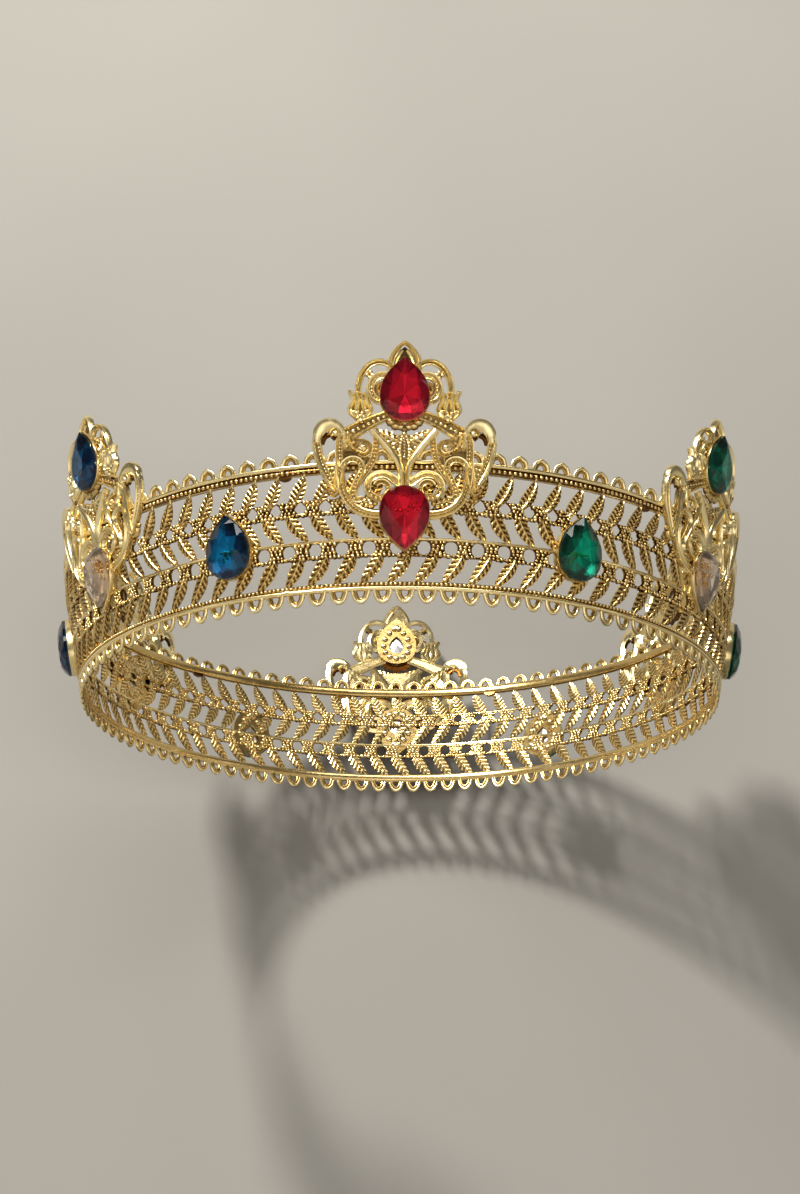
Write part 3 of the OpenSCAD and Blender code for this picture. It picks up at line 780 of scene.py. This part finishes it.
# light and dark colour of each stone: the dark one is painted shade on its outer facets
GEMS = {
    "ruby": gem("ruby_glass", (1.0, 0.014, 0.04), (0.55, 0.003, 0.03)),
    "sapphire": gem("sapphire_glass", (0.002, 0.29, 0.68), (0.0005, 0.012, 0.05)),
    "emerald": gem("emerald_glass", (0.003, 0.66, 0.38), (0.0005, 0.06, 0.035)),
    "champagne": gem("champagne_glass", (1.0, 0.82, 0.62), (1.0, 0.72, 0.47)),
}

# ---------------------------------------------------------------- the pieces, in their six places
SLOTS = {row["node"]: row["material_slot"] for row in frame["record"]["subparts"]}
TAB_SHIFT = np.array([1.1 + BASE_R * SEAM, 26.7, 0])  # from a segment's middle to its joint tab
SHAPES = {"band_segment": band_segment(), "crest": crest(), "cup": cup(), "stone": stone(), "joint_tab": joint_tab()}

for index, place in enumerate(PLACES):
    axis = index * STEP
    node = f"band_segment_{place}"
    SHAPES["band_segment"].build(f"{node}_casting", lambda p, a=axis: wall(p, a), [GOLD], "gold", node)
    node = f"crest_{place}"
    SHAPES["crest"].build(f"{node}_casting", lambda p, a=CREST_A[index]: wall(p, a), [GOLD], "gold", node)
    node = f"joint_tab_{place}"
    SHAPES["joint_tab"].build(f"{node}_solder", lambda p, a=axis: wall(p + TAB_SHIFT, a), [GOLD], "gold", node)
    seats = {
        "upper": (CREST_A[index], UPPER_Z, 0.0),
        "lower": (CREST_A[index], LOWER_Z, math.pi),
        "band": (BAND_A[index], BAND_Z, 0.0),
    }
    for level, (a, z, turn) in seats.items():
        spot = lambda p, a=a, z=z, turn=turn: seat(p, a, z, turn)
        node = f"{level}_cup_{place}"
        SHAPES["cup"].build(f"{node}_bezel", spot, [GOLD], "gold", node)
        node = f"{level}_stone_{place}"
        SHAPES["stone"].build(f"{node}_cut", spot, [GEMS[SLOTS[node]], FOIL], SLOTS[node], node)


# ---------------------------------------------------------------- stage
def stage_material(name, colour, mottle):
    """Matt pale surface that is drawn from its front only."""
    material, nodes, links, shader = new_material(name)
    place = nodes.new("ShaderNodeTexCoord")
    cloud = nodes.new("ShaderNodeTexNoise")
    cloud.inputs["Scale"].default_value = 3.5
    cloud.inputs["Detail"].default_value = 3
    links.new(place.outputs["Object"], cloud.inputs["Vector"])
    ramp = nodes.new("ShaderNodeValToRGB")
    stops = ramp.color_ramp.elements
    stops[0].position, stops[0].color = 0.3, (*[c * (1 - mottle) for c in colour], 1)
    stops[1].position, stops[1].color = 0.7, (*colour, 1)
    links.new(cloud.outputs["Fac"], ramp.inputs["Fac"])
    links.new(ramp.outputs["Color"], shader.inputs["Base Color"])
    shader.inputs["Roughness"].default_value = 0.9
    clear = nodes.new("ShaderNodeBsdfTransparent")
    facing = nodes.new("ShaderNodeNewGeometry")
    choice = nodes.new("ShaderNodeMixShader")
    links.new(facing.outputs["Backfacing"], choice.inputs["Fac"])
    links.new(shader.outputs[0], choice.inputs[1])
    links.new(clear.outputs[0], choice.inputs[2])
    links.new(choice.outputs[0], nodes["Material Output"].inputs["Surface"])
    return material


def stage_plane(name, corner_points, material):
    mesh = bpy.data.meshes.new(name)
    mesh.from_pydata(corner_points, [], [(0, 1, 2, 3)])
    mesh.materials.append(material)
    plane = bpy.data.objects.new(name, mesh)
    bpy.context.scene.collection.objects.link(plane)
    return plane


PALE = stage_material("pale_stage", (0.295, 0.282, 0.257), 0.16)
WALL_Y = cad_box[1].y + 0.004
HALF = 0.9  # half the width of the floor and the backdrop
floor = stage_plane("floor", [(-HALF, -HALF, 0), (HALF, -HALF, 0), (HALF, HALF, 0), (-HALF, HALF, 0)], PALE)
floor.visible_shadow = False
floor.visible_diffuse = False
stage_plane(
    "backdrop",
    [(-HALF, WALL_Y, -HALF), (HALF, WALL_Y, -HALF), (HALF, WALL_Y, HALF), (-HALF, WALL_Y, HALF)],
    PALE,
)


LIGHT_COLOUR = (1, 0.97, 0.92)
CENTRE = (0, 0, 0.02)  # where all the lights aim


def softbox(name, spot, size, power):
    """A rectangular light of a size in metres and a power in watts, aimed at the crown."""
    light = bpy.data.lights.new(name, "AREA")
    light.shape = "RECTANGLE"
    light.size, light.size_y = size
    light.energy = power
    light.color = LIGHT_COLOUR
    lamp = bpy.data.objects.new(name, light)
    lamp.location = spot
    lamp.rotation_mode = "QUATERNION"
    lamp.rotation_quaternion = (Vector(CENTRE) - Vector(spot)).to_track_quat("-Z", "Y")
    bpy.context.scene.collection.objects.link(lamp)


softbox("key", (-0.55, -0.80, 0.95), (0.16, 0.16), 30)
softbox("overhead", (0.1, -0.75, 1.0), (0.9, 0.25), 6)
softbox("left_fill", (-1.0, -0.45, 0.15), (0.12, 0.7), 0.4)
softbox("right_fill", (1.0, -0.35, 0.25), (0.12, 0.7), 0.4)
softbox("front_low", (0.1, -1.1, -0.22), (0.8, 0.3), 6)
softbox("rear_top", (0.2, 0.9, 0.9), (0.6, 0.3), 5)

world = bpy.data.worlds.new("studio")
world.use_nodes = True
world.node_tree.nodes["Background"].inputs["Color"].default_value = (0.80, 0.76, 0.68, 1)
world.node_tree.nodes["Background"].inputs["Strength"].default_value = 0.135
bpy.context.scene.world = world
bpy.context.scene.view_settings.view_transform = "Standard"


# ---------------------------------------------------------------- camera
def make_camera():
    """The camera looks up at the crown from slightly below its resting level."""
    azimuth, elevation = math.radians(-0.66), math.radians(-17.37)
    distance, pitch, roll = 0.6095, 0.04187, -0.00109
    target = Vector((0, 0, RAIL_Z * MM))
    level = math.cos(elevation)
    back = Vector((math.sin(azimuth) * level, -math.cos(azimuth) * level, math.sin(elevation)))
    forward = -back
    right = forward.cross(Vector((0, 0, 1))).normalized()
    up = right.cross(forward)
    turn = Matrix.Rotation(pitch, 3, right)
    forward, up = turn @ forward, turn @ up
    turn = Matrix.Rotation(roll, 3, forward)
    right, up = turn @ right, turn @ up
    data = bpy.data.cameras.new("camera")
    data.lens, data.sensor_width = 72.53, 36
    data.clip_start, data.clip_end = 0.01, 20
    camera = bpy.data.objects.new("camera", data)
    camera.rotation_mode = "QUATERNION"
    camera.location = target + back * distance
    camera.rotation_quaternion = Matrix((right, up, -forward)).transposed().to_quaternion()
    bpy.context.scene.collection.objects.link(camera)
    bpy.context.scene.camera = camera


make_camera()
